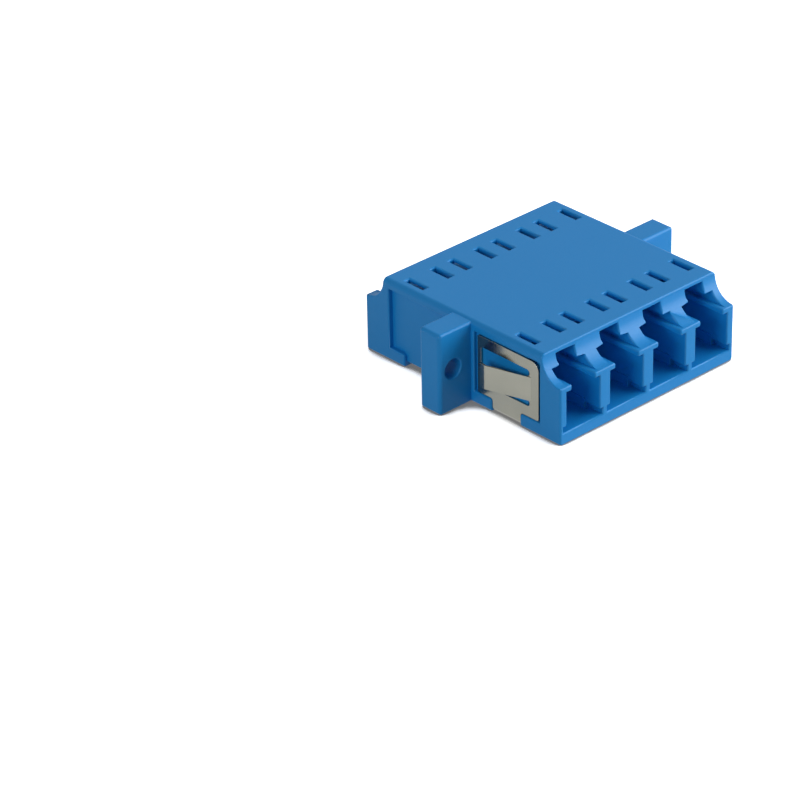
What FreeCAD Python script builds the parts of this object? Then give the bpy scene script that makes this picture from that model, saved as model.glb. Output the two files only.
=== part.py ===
import FreeCAD, Part
import math
import os

# Four-port LC fibre adapter with flange ears and a panel spring clip, in millimetres.
# Frame: the origin is at the bottom centre of the housing, +X runs along the row of ports,
# Y is the mating axis with the clip on the front (-Y) half, and +Z is up.

# ---- ports ----
port_count = 4
port_pitch = 6.25            # centre to centre, the pitch of LC plugs in a duplex pair
port_width = 4.7             # between the walls that guide the plug body
plug_height = 4.55           # port floor to the underside of the ledges
floor_thickness = 1.3        # underside to the port floor
ledge_thickness = 0.65       # ledge that the plug body slides under
ledge_gap = 3.3              # between the two ledges of a port
groove_height = 1.1          # groove that the latch lugs travel in
groove_width = 4.45
slot_height = 1.3            # slot that the latch lever travels in, between the T heads
slot_width = 2.55
roof_thickness = 0.55
foot_relief_width = 5.6      # undercut at the foot of the walls, just inside the mouth
foot_relief_height = 0.7
foot_relief_depth = 2.1
guide_rib_height = 1.2       # low ribs that centre the plug, behind the foot relief
guide_rib_proud = 0.09

# ---- latch windows in the roof ----
window_width = 0.8
window_length = 2.7
catch_depth = 4.8            # end face to the catch faces behind the T heads

# ---- housing ----
body_length = 28.6
end_wall = 0.975             # outer port wall to the flank
middle_wall = 2.0            # wall between front and rear ports
shoulder_radius = 2.65       # concave shoulder above each row of mouths
roof_round = 0.6             # roof to flank
base_round = 0.35            # flank to underside
corner_round = 0.25          # end faces to flanks

# ---- flange ears ----
ear_reach = 4.4              # how far an ear stands out of the flank
ear_thickness = 3.0
ear_top_drop = 0.15
ear_round = 0.45             # upright outer edges
ear_corner_round = 0.45      # outer corners seen from the front
ear_edge_round = 0.35        # long edges of the top and the underside
screw_pitch = 30.4
screw_hole = 2.2             # diameter
screw_lift = 0.2             # hole above the middle of the ear

# ---- clip pockets in the flanks and channels in the underside ----
pocket_start = 1.9           # from the middle plane
pocket_length = 9.4          # the front pair, which holds the clip
rear_pocket_short = 0.5      # the rear pair ends this much nearer the middle
pocket_base = 1.45           # height of the lip under the pocket
pocket_height = 6.9
pocket_depth = 0.45
pocket_step_length = 1.95    # deeper strip at the outer end of the pocket
pocket_step_depth = 0.15
pocket_corner_round = 0.15
channel_start = 4.4          # from the middle plane
channel_width = 4.15
channel_height = 0.42
lip_corner_round = 0.3

# ---- spring clip ----
sheet = 0.25
clip_clearance = 0.05        # sheet to pocket floor, lip, channel roof and channel sides
clip_bend = 0.2              # inside radius at the strap
wing_end_gap = 0.25          # wing to the outer end of the pocket
wing_back_gap = 0.4          # wing to the inner end of the pocket
wing_top_gap = 0.25          # wing to the top of the pocket
wing_top_round = 1.0
wing_low_round = 0.2
wing_back_round = 0.15
tongue_width = 2.73
tongue_root = 1.27           # wing's outer edge to the tongue's root
tongue_flare = 17.5          # degrees
tongue_slope_length = 5.28
tongue_end_length = 1.1
tongue_end_turn = 22.5       # degrees back towards the flank
tongue_bend = 0.6            # inside radius
tongue_tip_low_round = 0.65
tongue_tip_top_round = 0.25
slot_gap = 0.73              # punched gap above and below the tongue, round at its front end
slot_back_round = 0.2
back_bar = 0.5               # strip that closes the wing behind the tongue

# ---- sleeve holders ----
holder_clearance = 0.08      # plate to port walls
plate_thickness = 1.2
barrel_diameter = 2.95
spigot_diameter = 3.2
spigot_clearance = 0.05
halves_gap = 0.04            # between the two spigots of a pair
sleeve_play = 0.05           # radial, between sleeve and holder
sleeve_end_play = 0.1
barrel_lip = 0.7             # wall in front of the sleeve
entry_diameter = 1.4         # funnel for the ferrule, at the sleeve
funnel_diameter = 2.2        # at the mouth
nib_proud = 0.2              # nibs that keep the holder in its port
nib_height = 1.4
nib_length = 0.9
nib_gap = 0.04

# ---- split sleeves ----
sleeve_bore = 1.25
sleeve_diameter = 1.62
sleeve_length = 6.8
sleeve_slit = 0.2

# ---- places that follow from the sizes above ----
overcut = 1.0                # how far a cutter runs out of the material
same_point = 1e-6            # closer than this, two points are one
half_length = body_length / 2
body_width = (port_count - 1) * port_pitch + port_width + 2 * end_wall
half_width = body_width / 2
port_floor = floor_thickness
ledge_base = port_floor + plug_height
ledge_top = ledge_base + ledge_thickness
groove_top = ledge_top + groove_height
slot_top = groove_top + slot_height
body_height = slot_top + roof_thickness
axis_height = port_floor + plug_height / 2
ear_half_span = half_width + ear_reach
ear_top = body_height - ear_top_drop
screw_height = ear_top / 2 + screw_lift
pocket_end = pocket_start + pocket_length
pocket_top = pocket_base + pocket_height
pocket_floor = half_width - pocket_depth
channel_end = channel_start + channel_width
window_start = half_length - catch_depth
window_end = window_start - window_length
relief_end = half_length - foot_relief_depth
port_centres = [(i - (port_count - 1) / 2) * port_pitch for i in range(port_count)]
ends = (-1, 1)               # front and rear
flanks = (-1, 1)             # left and right


def vec(x, y, z):
    return FreeCAD.Vector(x, y, z)


def block(x0, x1, y0, y1, z0, z1):
    """Box between two opposite corners, given in any order."""
    low = vec(min(x0, x1), min(y0, y1), min(z0, z1))
    return Part.makeBox(abs(x1 - x0), abs(y1 - y0), abs(z1 - z0), low)


def rod(radius, start, run):
    """Cylinder from a start point along a run."""
    return Part.makeCylinder(radius, run.Length, start, run)


def outline(corners):
    """Closed wire through (point, radius) corners, each rounded by its radius."""
    edges = []
    tangents = []
    count = len(corners)
    for i, (point, radius) in enumerate(corners):
        if radius <= 0:
            tangents.append((point, point))
            continue
        before = (corners[i - 1][0] - point).normalize()
        after = (corners[(i + 1) % count][0] - point).normalize()
        half_angle = before.getAngle(after) / 2
        reach = radius / math.tan(half_angle)
        start = point + before * reach
        end = point + after * reach
        middle = (before + after).normalize() * (radius / math.sin(half_angle) - radius)
        edges.append(Part.Arc(start, point + middle, end).toShape())
        tangents.append((start, end))
    for i in range(count):
        start = tangents[i][1]
        end = tangents[(i + 1) % count][0]
        if start.distanceToPoint(end) > same_point:
            edges.append(Part.LineSegment(start, end).toShape())
    return Part.Wire(Part.__sortEdges__(edges))


def prism(corners, run):
    """Solid swept from a rounded outline along a straight run."""
    return Part.Face(outline(corners)).extrude(run)


def along_x(corners, x0, x1):
    """Prism along X from (y, z, radius) corners."""
    return prism([(vec(x0, y, z), r) for y, z, r in corners], vec(x1 - x0, 0, 0))


def along_y(corners, y0, y1):
    """Prism along Y from (x, z, radius) corners."""
    return prism([(vec(x, y0, z), r) for x, z, r in corners], vec(0, y1 - y0, 0))


def along_z(corners, z0, z1):
    """Prism along Z from (x, y, radius) corners."""
    return prism([(vec(x, y, z0), r) for x, y, r in corners], vec(0, 0, z1 - z0))


def rectangle(a0, a1, b0, b1, radius):
    return [(a0, b0, radius), (a1, b0, radius), (a1, b1, radius), (a0, b1, radius)]


def fused(shapes):
    """One solid from several that meet, without seams."""
    return shapes[0].multiFuse(shapes[1:]).removeSplitter()


# ---- housing ----

def shoulder_corners(end):
    """(y, z, radius) corners of one end of the side view, from the underside to the roof."""
    face = end * half_length
    roof_edge = end * (half_length - shoulder_radius)
    return [
        (face, 0, 0),
        (face, ledge_top, 0),
        (roof_edge, ledge_top, shoulder_radius),
        (roof_edge, body_height, 0),
    ]


def body_blank():
    """Bar that is rounded in all three views, with a concave shoulder along each end."""
    side_view = shoulder_corners(-1) + shoulder_corners(1)[::-1]
    end_view = [
        (-half_width, 0, base_round),
        (half_width, 0, base_round),
        (half_width, body_height, roof_round),
        (-half_width, body_height, roof_round),
    ]
    top_view = rectangle(-half_width, half_width, -half_length, half_length, corner_round)
    blank = along_x(side_view, -half_width - overcut, half_width + overcut)
    blank = blank.common(along_y(end_view, -half_length - overcut, half_length + overcut))
    return blank.common(along_z(top_view, -overcut, body_height + overcut))


def ear(side):
    """Flange ear on one flank, rounded in all three views."""
    inner = side * (pocket_floor - pocket_step_depth)
    outer = side * ear_half_span
    half = ear_thickness / 2
    top_view = [(inner, -half, 0), (outer, -half, ear_round), (outer, half, ear_round), (inner, half, 0)]
    front_view = [
        (inner, 0, 0),
        (outer, 0, ear_corner_round),
        (outer, ear_top, ear_corner_round),
        (inner, ear_top, 0),
    ]
    side_view = rectangle(-half, half, 0, ear_top, ear_edge_round)
    solid = along_z(top_view, -overcut, body_height + overcut)
    solid = solid.common(along_y(front_view, -ear_thickness, ear_thickness))
    return solid.common(along_x(side_view, side * overcut, outer + side * overcut))


def screw_cutter(side):
    start = vec(side * screw_pitch / 2, -ear_thickness, screw_height)
    return rod(screw_hole / 2, start, vec(0, 2 * ear_thickness, 0))


def symmetric(right):
    """(x, z) corners of one side of a port, made up to a whole section about the port centre."""
    left = [(-x, z) for x, z in reversed(right)]
    return right + left


def port_hollow(x, right, y0, y1):
    return along_y([(x + w, z, 0) for w, z in symmetric(right)], y0, y1)


def port_cutter(x, end):
    """Everything that is hollow in one port, from beyond the mouth to the middle wall."""
    mouth = end * (half_length + overcut)
    plug = [
        (port_width / 2, port_floor),
        (port_width / 2, ledge_base),
        (ledge_gap / 2, ledge_base),
        (ledge_gap / 2, ledge_top),
        (groove_width / 2, ledge_top),
        (groove_width / 2, groove_top),
    ]
    lever_slot = [(slot_width / 2, ledge_top), (slot_width / 2, slot_top)]
    lug_pocket = [(groove_width / 2, ledge_top), (groove_width / 2, slot_top)]
    foot = [
        (foot_relief_width / 2, port_floor),
        (foot_relief_width / 2, port_floor + foot_relief_height),
    ]
    return fused([
        port_hollow(x, plug, mouth, end * middle_wall / 2),
        port_hollow(x, lever_slot, mouth, end * window_end),
        port_hollow(x, lug_pocket, end * window_start, end * window_end),
        port_hollow(x, foot, mouth, end * relief_end),
    ])


def window_cutters(x, end):
    """The two roof windows over the lug pocket of one port, flush with its walls."""
    cutters = []
    for side in flanks:
        outer = x + side * groove_width / 2
        cutters.append(block(outer - side * window_width, outer,
                             end * window_start, end * window_end,
                             slot_top - roof_thickness, body_height + overcut))
    return cutters


def guide_ribs(x, end):
    """Low ribs on both walls of a port, from the foot relief to the middle wall."""
    ribs = []
    for side in flanks:
        wall = x + side * port_width / 2
        ribs.append(block(wall - side * guide_rib_proud, wall + side * end_wall / 4,
                          end * relief_end, end * middle_wall / 2,
                          port_floor - floor_thickness / 4, port_floor + guide_rib_height))
    return ribs


def holder_nibs(x, end):
    """Wedges on both walls of a port that keep the sleeve holder against the middle wall."""
    catch = middle_wall / 2 + plate_thickness + nib_gap
    low = axis_height - nib_height / 2
    nibs = []
    for side in flanks:
        wall = x + side * port_width / 2
        root = wall + side * end_wall / 4
        wedge = [
            (root, end * catch, 0),
            (wall - side * nib_proud, end * catch, 0),
            (wall, end * (catch + nib_length), 0),
            (root, end * (catch + nib_length), 0),
        ]
        nibs.append(along_z(wedge, low, low + nib_height))
    return nibs


def pocket_cutter(side, end):
    """Clip pocket in one flank with its way down into the channel underneath."""
    floor = side * pocket_floor
    outside = side * (half_width + overcut)
    channel_0 = end * channel_start
    channel_1 = end * channel_end
    outer_end = pocket_end - (rear_pocket_short if end > 0 else 0)
    side_view = [
        (end * pocket_start, pocket_base, pocket_corner_round),
        (channel_0, pocket_base, lip_corner_round),
        (channel_0, -overcut, 0),
        (channel_1, -overcut, 0),
        (channel_1, pocket_base, lip_corner_round),
        (end * outer_end, pocket_base, pocket_corner_round),
        (end * outer_end, pocket_top, pocket_corner_round),
        (end * pocket_start, pocket_top, pocket_corner_round),
    ]
    bend_relief = [
        (floor, channel_height + clip_bend, 0),
        (floor, 0, 0),
        (floor - side * clip_bend, 0, 0),
        (floor - side * clip_bend, channel_height, 0),
    ]
    step = block(floor - side * pocket_step_depth, outside,
                 end * (outer_end - pocket_step_length), end * outer_end,
                 pocket_base, pocket_top)
    pocket = along_x(side_view, floor, outside)
    return pocket.multiFuse([along_y(bend_relief, channel_0, channel_1), step])


def channel_cutter(end):
    """Shallow channel for the clip strap, right across the underside."""
    reach = half_width + overcut
    return block(-reach, reach, end * channel_start, end * channel_end, -overcut, channel_height)


def middle_hole(x):
    """Hole in the middle wall for the two spigots of a pair of sleeve holders."""
    radius = spigot_diameter / 2 + spigot_clearance
    return rod(radius, vec(x, -middle_wall, axis_height), vec(0, 2 * middle_wall, 0))


def housing():
    """One moulding: body, ears, ports, windows, pockets and channels."""
    body = fused([body_blank()] + [ear(side) for side in flanks])
    cutters = [screw_cutter(side) for side in flanks]
    cutters += [pocket_cutter(side, end) for side in flanks for end in ends]
    cutters += [channel_cutter(end) for end in ends]
    ribs = []
    for x in port_centres:
        cutters.append(middle_hole(x))
        for end in ends:
            cutters.append(port_cutter(x, end))
            cutters += window_cutters(x, end)
            ribs += guide_ribs(x, end)
            ribs += holder_nibs(x, end)
    for cutter in cutters:
        body = body.cut(cutter)
    return fused([body] + ribs)


# ---- spring clip ----

wing_inner = pocket_floor + clip_clearance
wing_outer = wing_inner + sheet
wing_front = wing_end_gap - pocket_end
wing_back = -pocket_start - wing_back_gap
wing_base = pocket_base + clip_clearance
wing_top = pocket_top - wing_top_gap
strap_top = channel_height - clip_clearance
strap_base = strap_top - sheet
leg_front = clip_clearance - channel_end
leg_back = -channel_start - clip_clearance
leg_fillet = lip_corner_round + clip_clearance
tongue_low = (wing_base + wing_top - tongue_width) / 2
tongue_high = tongue_low + tongue_width
tongue_start = wing_front + tongue_root


def clip_blank():
    """Sheet bent into a U, as wide along Y as the wings."""
    front_view = [
        (-wing_outer, wing_top, 0),
        (-wing_outer, strap_base, clip_bend + sheet),
        (wing_outer, strap_base, clip_bend + sheet),
        (wing_outer, wing_top, 0),
        (wing_inner, wing_top, 0),
        (wing_inner, strap_top, clip_bend),
        (-wing_inner, strap_top, clip_bend),
        (-wing_inner, wing_top, 0),
    ]
    return along_y(front_view, wing_front, wing_back)


def through_wings(side_view):
    """Prism through both wings from (y, z, radius) corners."""
    return along_x(side_view, -wing_outer - overcut, wing_outer + overcut)


def wing_outline():
    """Side view of the clip: the wing with its leg down to the strap."""
    return through_wings([
        (wing_front, wing_base, wing_low_round),
        (leg_front, wing_base, leg_fillet),
        (leg_front, -overcut, 0),
        (leg_back, -overcut, 0),
        (leg_back, wing_base, leg_fillet),
        (wing_back, wing_base, wing_back_round),
        (wing_back, wing_top, wing_back_round),
        (wing_front, wing_top, wing_top_round),
    ])


def tongue_window():
    """Opening punched round the tongue: two slots with round front ends, and the gap it leaves."""
    slot_back = wing_back - back_bar
    slot_end = slot_gap / 2
    cutters = []
    for low in (tongue_low - slot_gap, tongue_high):
        cutters.append(through_wings(rectangle(tongue_start, slot_back, low, low + slot_gap, slot_end)))
    cutters.append(through_wings(rectangle(tongue_start + slot_end, slot_back, tongue_low - slot_gap,
                                           tongue_high + slot_gap, slot_back_round)))
    return fused(cutters)


def tongue(side):
    """Flared spring tongue: a sloping leaf with a short end turned back to the flank."""
    flare = math.radians(tongue_flare)
    turn = math.radians(tongue_flare - tongue_end_turn)
    slope = vec(side * math.sin(flare), math.cos(flare), 0)
    end = vec(side * math.sin(turn), math.cos(turn), 0)
    root = vec(side * (wing_inner + sheet / 2), tongue_start - sheet, tongue_low)
    knee = root + slope * tongue_slope_length
    tip = knee + end * tongue_end_length
    top_view = leaf_corners([root, knee, tip], tongue_bend)
    leaf = prism(top_view, vec(0, 0, tongue_width))
    side_view = [
        (root.y, tongue_low, 0),
        (tip.y, tongue_low, tongue_tip_low_round),
        (tip.y, tongue_high, tongue_tip_top_round),
        (root.y, tongue_high, 0),
    ]
    return leaf.common(along_x(side_view, 0, side * 2 * wing_outer))


def leaf_corners(path, bend):
    """(point, radius) corners of a sheet along a bent path, seen from above."""
    root, knee, tip = path
    out = (knee - root).normalize()
    end = (tip - knee).normalize()
    half = sheet / 2
    out_normal = vec(out.y, -out.x, 0) * half
    end_normal = vec(end.y, -end.x, 0) * half
    mitre = (out_normal + end_normal).normalize() * (half / math.cos(out.getAngle(end) / 2))
    on_right = bend + sheet if out.x > 0 else bend
    on_left = bend + bend + sheet - on_right
    return [
        (root + out_normal, 0),
        (knee + mitre, on_right),
        (tip + end_normal, 0),
        (tip - end_normal, 0),
        (knee - mitre, on_left),
        (root - out_normal, 0),
    ]


def spring_clip():
    """One folded sheet: strap, two wings, one tongue cut out of each wing."""
    folded = clip_blank().common(wing_outline()).cut(tongue_window())
    return fused([folded] + [tongue(side) for side in flanks])


# ---- sleeve holders and sleeves ----

def sleeve_holder(x, end):
    """Half holder: plate against the middle wall, spigot inwards, barrel towards the plug."""
    half_plate = port_width / 2 - guide_rib_proud - holder_clearance
    plate_inside = end * middle_wall / 2
    plate_outside = plate_inside + end * plate_thickness
    plate_middle = (plate_inside + plate_outside) / 2
    room_end = sleeve_length / 2 + sleeve_end_play
    tip = room_end + barrel_lip
    plate = block(x - half_plate, x + half_plate, plate_inside, plate_outside,
                  port_floor + holder_clearance, ledge_base - holder_clearance)
    spigot_start = end * halves_gap / 2
    spigot = rod(spigot_diameter / 2, vec(x, spigot_start, axis_height),
                 vec(0, plate_middle - spigot_start, 0))
    barrel = rod(barrel_diameter / 2, vec(x, plate_middle, axis_height),
                 vec(0, end * tip - plate_middle, 0))
    room = rod(sleeve_diameter / 2 + sleeve_play, vec(x, 0, axis_height), vec(0, end * room_end, 0))
    funnel = Part.makeCone(entry_diameter / 2, funnel_diameter / 2, barrel_lip,
                           vec(x, end * room_end, axis_height), vec(0, end, 0))
    return fused([plate, spigot, barrel]).cut(room).cut(funnel)


def split_sleeve(x):
    """Slit tube that lines up two ferrules."""
    start = vec(x, -sleeve_length / 2, axis_height)
    run = vec(0, sleeve_length, 0)
    slit = block(x - sleeve_slit / 2, x + sleeve_slit / 2, -sleeve_length, sleeve_length,
                 axis_height, axis_height + sleeve_diameter)
    return rod(sleeve_diameter / 2, start, run).cut(rod(sleeve_bore / 2, start, run)).cut(slit)


def sub_parts():
    """Every node's name and solid."""
    parts = {"housing": housing(), "spring_clip": spring_clip()}
    for number, x in enumerate(port_centres, 1):
        parts["sleeve_holder_front_%d" % number] = sleeve_holder(x, -1)
        parts["sleeve_holder_rear_%d" % number] = sleeve_holder(x, 1)
        parts["split_sleeve_%d" % number] = split_sleeve(x)
    return parts


os.makedirs("parts", exist_ok=True)
for name, solid in sub_parts().items():
    print("%-24s solids %d valid %s volume %.2f" % (name, len(solid.Solids), solid.isValid(), solid.Volume))
    solid.exportStep("parts/%s.step" % name)
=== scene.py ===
import math

import bmesh
import bpy
import numpy as np
from mathutils import Matrix, Vector


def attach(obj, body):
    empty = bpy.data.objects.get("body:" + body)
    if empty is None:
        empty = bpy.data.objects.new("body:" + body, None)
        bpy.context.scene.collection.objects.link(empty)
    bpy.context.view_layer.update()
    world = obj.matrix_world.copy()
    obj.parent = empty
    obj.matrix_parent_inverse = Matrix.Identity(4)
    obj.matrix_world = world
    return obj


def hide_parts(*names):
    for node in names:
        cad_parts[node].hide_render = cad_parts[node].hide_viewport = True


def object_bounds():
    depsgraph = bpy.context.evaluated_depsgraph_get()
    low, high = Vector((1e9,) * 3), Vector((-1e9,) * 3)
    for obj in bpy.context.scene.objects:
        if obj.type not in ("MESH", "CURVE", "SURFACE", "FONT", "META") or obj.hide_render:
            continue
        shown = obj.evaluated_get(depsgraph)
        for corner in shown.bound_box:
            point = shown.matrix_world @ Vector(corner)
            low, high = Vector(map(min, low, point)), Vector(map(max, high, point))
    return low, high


# Four-port LC fibre adapter on a pale floor, in metres: +X along the row of ports, the spring
# clip on the front (-Y) half, +Z up. The CAD nodes keep their places; the housing and the clip
# are shown by copies whose edges are broken as a mould and a press leave them.

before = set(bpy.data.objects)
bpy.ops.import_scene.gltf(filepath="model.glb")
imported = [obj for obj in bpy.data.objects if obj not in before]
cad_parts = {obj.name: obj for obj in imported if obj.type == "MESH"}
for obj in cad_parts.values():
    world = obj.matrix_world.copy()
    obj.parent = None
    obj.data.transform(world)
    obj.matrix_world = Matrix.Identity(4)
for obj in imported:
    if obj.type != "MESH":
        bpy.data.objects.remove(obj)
cad_low, cad_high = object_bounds()
MM = 0.001


# ---------------------------------------------------------------- colours and nodes

def linear(code):
    """An sRGB hex colour as a linear RGBA tuple."""
    parts = [int(code[i:i + 2], 16) / 255 for i in (1, 3, 5)]
    rgb = [p / 12.92 if p <= 0.04045 else ((p + 0.055) / 1.055) ** 2.4 for p in parts]
    return (*rgb, 1.0)


def add_node(tree, kind, settings=None, values=None, links=None):
    """A node of one kind with its properties, its socket values and the outputs that feed it."""
    node = tree.nodes.new(kind)
    for name, value in (settings or {}).items():
        setattr(node, name, value)
    for socket, value in (values or {}).items():
        node.inputs[socket].default_value = value
    for socket, output in (links or {}).items():
        tree.links.new(output, node.inputs[socket])
    return node


def new_material(name):
    """An empty node material, its tree, and the object coordinates that its patterns read."""
    material = bpy.data.materials.new(name)
    material.use_nodes = True
    tree = material.node_tree
    tree.nodes.clear()
    place = add_node(tree, "ShaderNodeTexCoord").outputs["Object"]
    return material, tree, place


def per_size(size_mm):
    """Texture scale at which one grain, cloud or line is size_mm wide."""
    return 1.0 / (size_mm * MM)


# ---------------------------------------------------------------- finishes

NOISE_LOW, NOISE_HIGH = 0.3, 0.7     # most of a noise texture lies between these


def moulded_pbt(name, body_colour, flow_colour):
    """Glass-filled PBT from a spark-eroded mould. It gives the eye an even satin blue whose
    highlights spread softly, a faint grain, and barely paler clouds where the melt flowed."""
    cloud_size = 7.0             # mm, a little more than the pitch of the ports
    grain_size = 0.12            # mm; the real grain of about 0.05 is too fine to show
    grain_depth = 0.004          # mm
    smoothest, roughest = 0.42, 0.5
    material, tree, place = new_material(name)
    clouds = add_node(tree, "ShaderNodeTexNoise",
                      values={"Scale": per_size(cloud_size), "Detail": 3.0},
                      links={"Vector": place})
    colour = add_node(tree, "ShaderNodeMix", settings={"data_type": "RGBA"},
                      values={"A": linear(body_colour), "B": linear(flow_colour)},
                      links={"Factor": clouds.outputs["Fac"]})
    grain = add_node(tree, "ShaderNodeTexNoise",
                     values={"Scale": per_size(grain_size), "Detail": 2.0},
                     links={"Vector": place})
    satin = add_node(tree, "ShaderNodeMapRange",
                     values={"From Min": NOISE_LOW, "From Max": NOISE_HIGH,
                             "To Min": smoothest, "To Max": roughest},
                     links={"Value": grain.outputs["Fac"]})
    relief = add_node(tree, "ShaderNodeBump",
                      values={"Strength": 0.25, "Distance": grain_depth * MM},
                      links={"Height": grain.outputs["Fac"]})
    shader = add_node(tree, "ShaderNodeBsdfPrincipled",
                      values={"IOR": 1.5, "Specular IOR Level": 0.35},
                      links={"Base Color": colour.outputs["Result"],
                             "Roughness": satin.outputs["Result"],
                             "Normal": relief.outputs["Normal"]})
    add_node(tree, "ShaderNodeOutputMaterial", links={"Surface": shader.outputs["BSDF"]})
    return material


def rolled_stainless(name):
    """Cold-rolled stainless strip. It gives the eye a bright, slightly warm grey that mirrors
    its surroundings softly, with faint stains and fine rolling lines. The lines run along the
    strip, which wraps round the adapter in X and Z."""
    line_width = 0.08            # mm; the real lines of about 0.02 are too fine to show
    line_length = 6.0            # mm
    line_depth = 0.002           # mm
    stain_size = 3.0             # mm
    smoothest, roughest = 0.14, 0.24
    material, tree, place = new_material(name)
    along_strip = add_node(tree, "ShaderNodeMapping",
                           values={"Scale": (per_size(line_length), per_size(line_width),
                                             per_size(line_length))},
                           links={"Vector": place})
    lines = add_node(tree, "ShaderNodeTexNoise", values={"Scale": 1.0, "Detail": 3.0},
                     links={"Vector": along_strip.outputs["Vector"]})
    stains = add_node(tree, "ShaderNodeTexNoise",
                      values={"Scale": per_size(stain_size), "Detail": 4.0},
                      links={"Vector": place})
    tone = add_node(tree, "ShaderNodeMix", settings={"data_type": "RGBA"},
                    values={"A": linear("#9b9d93"), "B": linear("#acaba0")},
                    links={"Factor": stains.outputs["Fac"]})
    gloss = add_node(tree, "ShaderNodeMapRange",
                     values={"From Min": NOISE_LOW, "From Max": NOISE_HIGH,
                             "To Min": smoothest, "To Max": roughest},
                     links={"Value": lines.outputs["Fac"]})
    relief = add_node(tree, "ShaderNodeBump",
                      values={"Strength": 0.15, "Distance": line_depth * MM},
                      links={"Height": lines.outputs["Fac"]})
    shader = add_node(tree, "ShaderNodeBsdfPrincipled", values={"Metallic": 1.0},
                      links={"Base Color": tone.outputs["Result"],
                             "Roughness": gloss.outputs["Result"],
                             "Normal": relief.outputs["Normal"]})
    add_node(tree, "ShaderNodeOutputMaterial", links={"Surface": shader.outputs["BSDF"]})
    return material


def polished_zirconia(name):
    """Ground and polished zirconia. It gives the eye a dense, glossy ivory with faint clouds
    that are polished a little less."""
    cloud_size = 1.5             # mm, about the width of a sleeve
    smoothest, roughest = 0.1, 0.2
    material, tree, place = new_material(name)
    clouds = add_node(tree, "ShaderNodeTexNoise",
                      values={"Scale": per_size(cloud_size), "Detail": 2.0},
                      links={"Vector": place})
    ivory = add_node(tree, "ShaderNodeMix", settings={"data_type": "RGBA"},
                     values={"A": linear("#efeade"), "B": linear("#f4f1e8")},
                     links={"Factor": clouds.outputs["Fac"]})
    gloss = add_node(tree, "ShaderNodeMapRange",
                     values={"To Min": smoothest, "To Max": roughest},
                     links={"Value": clouds.outputs["Fac"]})
    shader = add_node(tree, "ShaderNodeBsdfPrincipled", values={"IOR": 2.15},
                      links={"Base Color": ivory.outputs["Result"],
                             "Roughness": gloss.outputs["Result"]})
    add_node(tree, "ShaderNodeOutputMaterial", links={"Surface": shader.outputs["BSDF"]})
    return material


# ---------------------------------------------------------------- pieces

MERGE = 0.0005 * MM          # points of a CAD mesh that lie closer than this are one
FLAT = math.radians(0.5)     # faces that turn by less than this are one face
CREASE = math.radians(40)    # faces that turn away by more than this have an edge between them
HOLLOW = math.radians(18)    # and those that turn towards each other by more than this a corner
RUN_OUT = math.radians(30)   # faces that turn by less than this shade as one surface
PROBES = (0.05, 0.5, 0.95)   # places along an edge where the room beside it is measured
BODY, ROUNDS = 0, 1          # material numbers that tell a round from the faces beside it


def room(corner):
    """Widest round that a face can take on the edge that starts at one of its corners: its depth
    square to that edge, or half of it where the edge opposite is rounded too."""
    start, end = corner.vert.co, corner.link_loop_next.vert.co
    along = (end - start).normalized()
    inwards = corner.face.normal.cross(along)
    widest = math.inf
    for point in (start.lerp(end, share) for share in PROBES):
        for other in corner.face.loops:
            if other == corner or other.edge.calc_face_angle(0) < CREASE:
                continue
            first, last = other.vert.co - point, other.link_loop_next.vert.co - point
            before, after = first.dot(along), last.dot(along)
            if before * after >= 0:
                continue
            depth = (first * after - last * before).dot(inwards) / (after - before)
            if depth > 0:
                widest = min(widest, depth / 2 if other.edge.is_convex else depth)
    return widest


def settle_normals(mesh):
    """Shading normals that let a round end in the faces beside it without bending them. A corner
    of the body takes the mean of the body's faces there that lean from its own by less than
    RUN_OUT, weighted by their areas. A corner of a round takes the normal of the body where it
    runs out into it, and keeps its own elsewhere."""
    def read(items, name, kind, width=1):
        """One property of every item, as an array with width columns."""
        values = np.empty(len(items) * width, dtype=kind)
        items.foreach_get(name, values)
        return values.reshape(-1, width) if width > 1 else values

    sizes = read(mesh.polygons, "loop_total", int)
    body = np.repeat(read(mesh.polygons, "material_index", int) == BODY, sizes)
    areas = np.repeat(read(mesh.polygons, "area", float), sizes)
    flats = np.repeat(read(mesh.polygons, "normal", float, 3), sizes, axis=0)
    normals = read(mesh.corner_normals, "vector", float, 3)

    # Every pair of corners at one point: "here" holds the first of each pair, "there" the second.
    points = read(mesh.loops, "vertex_index", int)
    order = np.argsort(points, kind="stable")
    meeting = np.bincount(points)
    starts = np.cumsum(meeting) - meeting
    repeats = meeting[points[order]]
    here = np.repeat(order, repeats)
    step = np.arange(repeats.sum()) - np.repeat(np.cumsum(repeats) - repeats, repeats)
    there = order[step + np.repeat(starts[points[order]], repeats)]
    lean = (flats[here] * flats[there]).sum(axis=1)
    joined = body[there] & (lean > math.cos(RUN_OUT))

    for corners, source in ((body, flats), (~body, normals)):
        pairs = joined & corners[here]
        total = np.zeros_like(normals)
        np.add.at(total, here[pairs], source[there[pairs]] * areas[there[pairs], None])
        length = np.linalg.norm(total, axis=1)
        found = length > 0
        normals[found] = total[found] / length[found, None]
    mesh.normals_split_custom_set(normals.tolist())


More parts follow.
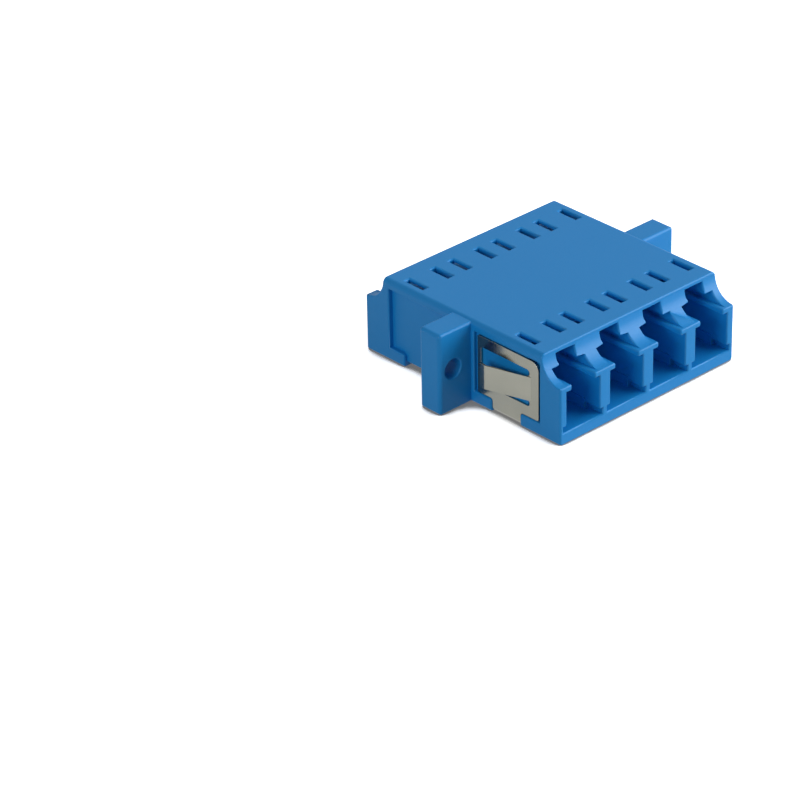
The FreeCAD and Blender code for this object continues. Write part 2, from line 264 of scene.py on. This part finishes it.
def broken_edges(node, name, radius, steps):
    """Copy of a CAD node whose outer edges are rounded by radius in a few steps, wherever the
    faces beside an edge have room for it."""
    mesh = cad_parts[node].data.copy()
    mesh.name = name
    work = bmesh.new()
    work.from_mesh(mesh)
    bmesh.ops.remove_doubles(work, verts=work.verts, dist=MERGE)
    bmesh.ops.dissolve_limit(work, angle_limit=FLAT, verts=work.verts, edges=work.edges)
    rounded = work.edges.layers.float.new("bevel_weight_edge")
    for face in work.faces:
        face.smooth = True
    for edge in work.edges:
        if edge.calc_face_angle(0) < (CREASE if edge.is_convex else HOLLOW):
            continue
        if edge.is_convex and min(room(corner) for corner in edge.link_loops) > radius:
            edge[rounded] = 1.0
        else:
            edge.smooth = False
    work.to_mesh(mesh)
    work.free()
    mesh.materials.clear()
    for _ in (BODY, ROUNDS):
        mesh.materials.append(None)

    piece = bpy.data.objects.new(name, mesh)
    bpy.context.scene.collection.objects.link(piece)
    rounds = piece.modifiers.new("edge rounds", "BEVEL")
    rounds.limit_method = "WEIGHT"
    rounds.width = radius
    rounds.segments = steps
    rounds.use_clamp_overlap = False
    rounds.material = ROUNDS
    graph = bpy.context.evaluated_depsgraph_get()
    finished = bpy.data.meshes.new_from_object(piece.evaluated_get(graph))
    piece.modifiers.clear()
    piece.data = finished
    settle_normals(finished)
    return piece


def show(piece, material, node):
    """Gives a piece its finish and lets it stand for its CAD node."""
    piece.data.materials.clear()
    piece.data.materials.append(material)
    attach(piece, "root")
    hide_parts(node)


HOUSING_ROUND = 0.18 * MM    # as a mould leaves an edge
CLIP_ROUND = 0.03 * MM       # as a press leaves one in thin strip

blue = moulded_pbt("moulded blue PBT", "#0d82c9", "#1084cb")
insert_blue = moulded_pbt("moulded blue PBT insert", "#0b6fb4", "#0d73b8")
steel = rolled_stainless("rolled stainless strip")
zirconia = polished_zirconia("polished zirconia")

show(broken_edges("housing", "housing_soft_edges", HOUSING_ROUND, steps=3), blue,
     "housing")
show(broken_edges("spring_clip", "spring_clip_soft_edges", CLIP_ROUND, steps=2), steel,
     "spring_clip")
for node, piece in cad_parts.items():
    for family, finish in (("sleeve_holder", insert_blue), ("split_sleeve", zirconia)):
        if node.startswith(family):
            for slot in piece.material_slots:
                slot.material = finish


# ---------------------------------------------------------------- floor

FLOOR_HALF = 1.5             # metres from its middle to a side
FLOOR_WHITE = 2.0            # how much paler the floor looks than the light that it sends on
FLOOR_LIFT = 0.8             # light added to what the camera sees of it, so that it stays white
FLOOR_SHINE = 0.6            # and to what the part mirrors of it
CONTACT_SHADE_REACH = 2.5 * MM           # reach of the painted contact shadow, a dark line where the part stands on the floor
SHUT, OPEN = 0.5, 0.65       # openness of the floor where that line is darkest, and at its end
DARKEST = 0.15               # share of the floor's white that is left where it is darkest


def floor_material():
    """Matt pale card. It gives the eye an even white, and a tight dark line where the part
    touches it. That line is partly the floor's real shadow and partly a painted contact shadow:
    ambient occlusion darkens what the camera sees of the floor near the part. To the part it
    sends back only a plain, moderate light."""
    speckle_size = 40.0          # mm
    material, tree, place = new_material("matt pale card")
    speckle = add_node(tree, "ShaderNodeTexNoise", values={"Scale": per_size(speckle_size)},
                       links={"Vector": place})
    tone = add_node(tree, "ShaderNodeMix", settings={"data_type": "RGBA"},
                    values={"A": linear("#bbbbbb"), "B": linear("#bdbdbd")},
                    links={"Factor": speckle.outputs["Fac"]})
    openness = add_node(tree, "ShaderNodeAmbientOcclusion", values={"Distance": CONTACT_SHADE_REACH})
    # Painted contact shadow: the floor's openness darkens its white and its lift near the part,
    # for camera rays only.
    painted_contact_shade = add_node(tree, "ShaderNodeMapRange",
                       values={"From Min": SHUT, "From Max": OPEN,
                               "To Min": DARKEST, "To Max": 1.0},
                       links={"Value": openness.outputs["AO"]})
    white = add_node(tree, "ShaderNodeMath", settings={"operation": "MULTIPLY"},
                     values={1: FLOOR_WHITE}, links={0: painted_contact_shade.outputs["Result"]})
    lift = add_node(tree, "ShaderNodeMath", settings={"operation": "MULTIPLY"},
                    values={1: FLOOR_LIFT}, links={0: painted_contact_shade.outputs["Result"]})
    rays = add_node(tree, "ShaderNodeLightPath")
    paler = add_node(tree, "ShaderNodeMapRange", values={"To Min": 1.0},
                     links={"Value": rays.outputs["Is Camera Ray"],
                            "To Max": white.outputs["Value"]})
    seen = add_node(tree, "ShaderNodeVectorMath", settings={"operation": "SCALE"},
                    links={"Vector": tone.outputs["Result"], "Scale": paler.outputs["Result"]})
    card = add_node(tree, "ShaderNodeBsdfDiffuse", links={"Color": seen.outputs["Vector"]})
    lifted = add_node(tree, "ShaderNodeMapRange", values={"To Min": 0.0},
                      links={"Value": rays.outputs["Is Camera Ray"],
                             "To Max": lift.outputs["Value"]})
    shine = add_node(tree, "ShaderNodeMapRange", values={"To Max": FLOOR_SHINE},
                     links={"Value": rays.outputs["Is Glossy Ray"],
                            "To Min": lifted.outputs["Result"]})
    glow = add_node(tree, "ShaderNodeEmission", links={"Strength": shine.outputs["Result"]})
    both = add_node(tree, "ShaderNodeAddShader",
                    links={0: card.outputs["BSDF"], 1: glow.outputs["Emission"]})
    add_node(tree, "ShaderNodeOutputMaterial", links={"Surface": both.outputs["Shader"]})
    return material


floor_corners = [(-FLOOR_HALF, -FLOOR_HALF, 0), (FLOOR_HALF, -FLOOR_HALF, 0),
                 (FLOOR_HALF, FLOOR_HALF, 0), (-FLOOR_HALF, FLOOR_HALF, 0)]
floor_mesh = bpy.data.meshes.new("floor")
floor_mesh.from_pydata(floor_corners, [], [(0, 1, 2, 3)])
floor_mesh.materials.append(floor_material())
floor = bpy.data.objects.new("floor", floor_mesh)
bpy.context.scene.collection.objects.link(floor)
floor.location.z = cad_low[2]


# ---------------------------------------------------------------- light

BOX_DISTANCE = 0.45          # metres from the part to a soft box
SKY_LEVEL = 0.20             # light from all round


def direction(azimuth, elevation):
    """Unit vector towards an azimuth, counted from -Y to +X, and an elevation, in degrees."""
    turn, rise = math.radians(azimuth), math.radians(elevation)
    return Vector((math.sin(turn) * math.cos(rise), -math.cos(turn) * math.cos(rise),
                   math.sin(rise)))


def soft_box(name, azimuth, elevation, width, height, watts):
    """Rectangular soft box that faces the part."""
    lamp = bpy.data.lights.new(name, "AREA")
    lamp.shape = "RECTANGLE"
    lamp.size = width
    lamp.size_y = height
    lamp.energy = watts
    holder = bpy.data.objects.new(name, lamp)
    towards = direction(azimuth, elevation)
    holder.location = towards * BOX_DISTANCE
    holder.rotation_euler = towards.to_track_quat("Z", "Y").to_euler()
    bpy.context.scene.collection.objects.link(holder)


# The front box stands low and to the right: it lights the end faces and the roof, and leaves the
# ports dark and the left ear in the housing's shade. The top box evens out the roof. The left
# box is low too, and lights the left flank.
soft_box("front soft box", azimuth=55, elevation=22, width=0.50, height=0.36, watts=2.85)
soft_box("top soft box", azimuth=65, elevation=60, width=0.35, height=0.35, watts=0.16)
soft_box("left soft box", azimuth=-80, elevation=22, width=0.20, height=0.15, watts=0.67)

# A white room: full white to the camera and in reflections, dimmer as a light.
world = bpy.data.worlds.new("white room")
bpy.context.scene.world = world
world.use_nodes = True
sky_tree = world.node_tree
sky_tree.nodes.clear()
rays = add_node(sky_tree, "ShaderNodeLightPath")
seen = add_node(sky_tree, "ShaderNodeMath", settings={"operation": "MAXIMUM"},
                links={0: rays.outputs["Is Camera Ray"], 1: rays.outputs["Is Glossy Ray"]})
level = add_node(sky_tree, "ShaderNodeMapRange", values={"To Min": SKY_LEVEL, "To Max": 1.0},
                 links={"Value": seen.outputs["Value"]})
sky = add_node(sky_tree, "ShaderNodeBackground", links={"Strength": level.outputs["Result"]})
add_node(sky_tree, "ShaderNodeOutputWorld", links={"Surface": sky.outputs["Background"]})


# ---------------------------------------------------------------- camera

# Long lens from the front left, above: angles in degrees, the lens in mm on a 36 mm sensor,
# everything else in metres.
CAMERA_AZIMUTH = -42.445
CAMERA_ELEVATION = 29.811
CAMERA_ROLL = -1.2035
CAMERA_DISTANCE = 0.38246
CAMERA_LENS = 172.02
CAMERA_SENSOR = 36.0
CAMERA_AIM = Vector((-23.096, -2.036, 4.629)) * MM
NEAREST, FARTHEST = 0.01, 10.0       # what the camera takes in

away = direction(CAMERA_AZIMUTH, CAMERA_ELEVATION)
right = (-away).cross(Vector((0, 0, 1))).normalized()
up = right.cross(-away)
roll = math.radians(CAMERA_ROLL)
tilted_right = right * math.cos(roll) + up * math.sin(roll)
tilted_up = up * math.cos(roll) - right * math.sin(roll)
stand = CAMERA_AIM + away * CAMERA_DISTANCE
lens = bpy.data.cameras.new("camera")
lens.lens = CAMERA_LENS
lens.sensor_width = CAMERA_SENSOR
lens.clip_start = NEAREST
lens.clip_end = FARTHEST
camera = bpy.data.objects.new("camera", lens)
camera.matrix_world = Matrix((
    (tilted_right.x, tilted_up.x, away.x, stand.x),
    (tilted_right.y, tilted_up.y, away.y, stand.y),
    (tilted_right.z, tilted_up.z, away.z, stand.z),
    (0, 0, 0, 1)))
bpy.context.scene.collection.objects.link(camera)
bpy.context.scene.camera = camera
bpy.context.scene.view_settings.view_transform = "Standard"
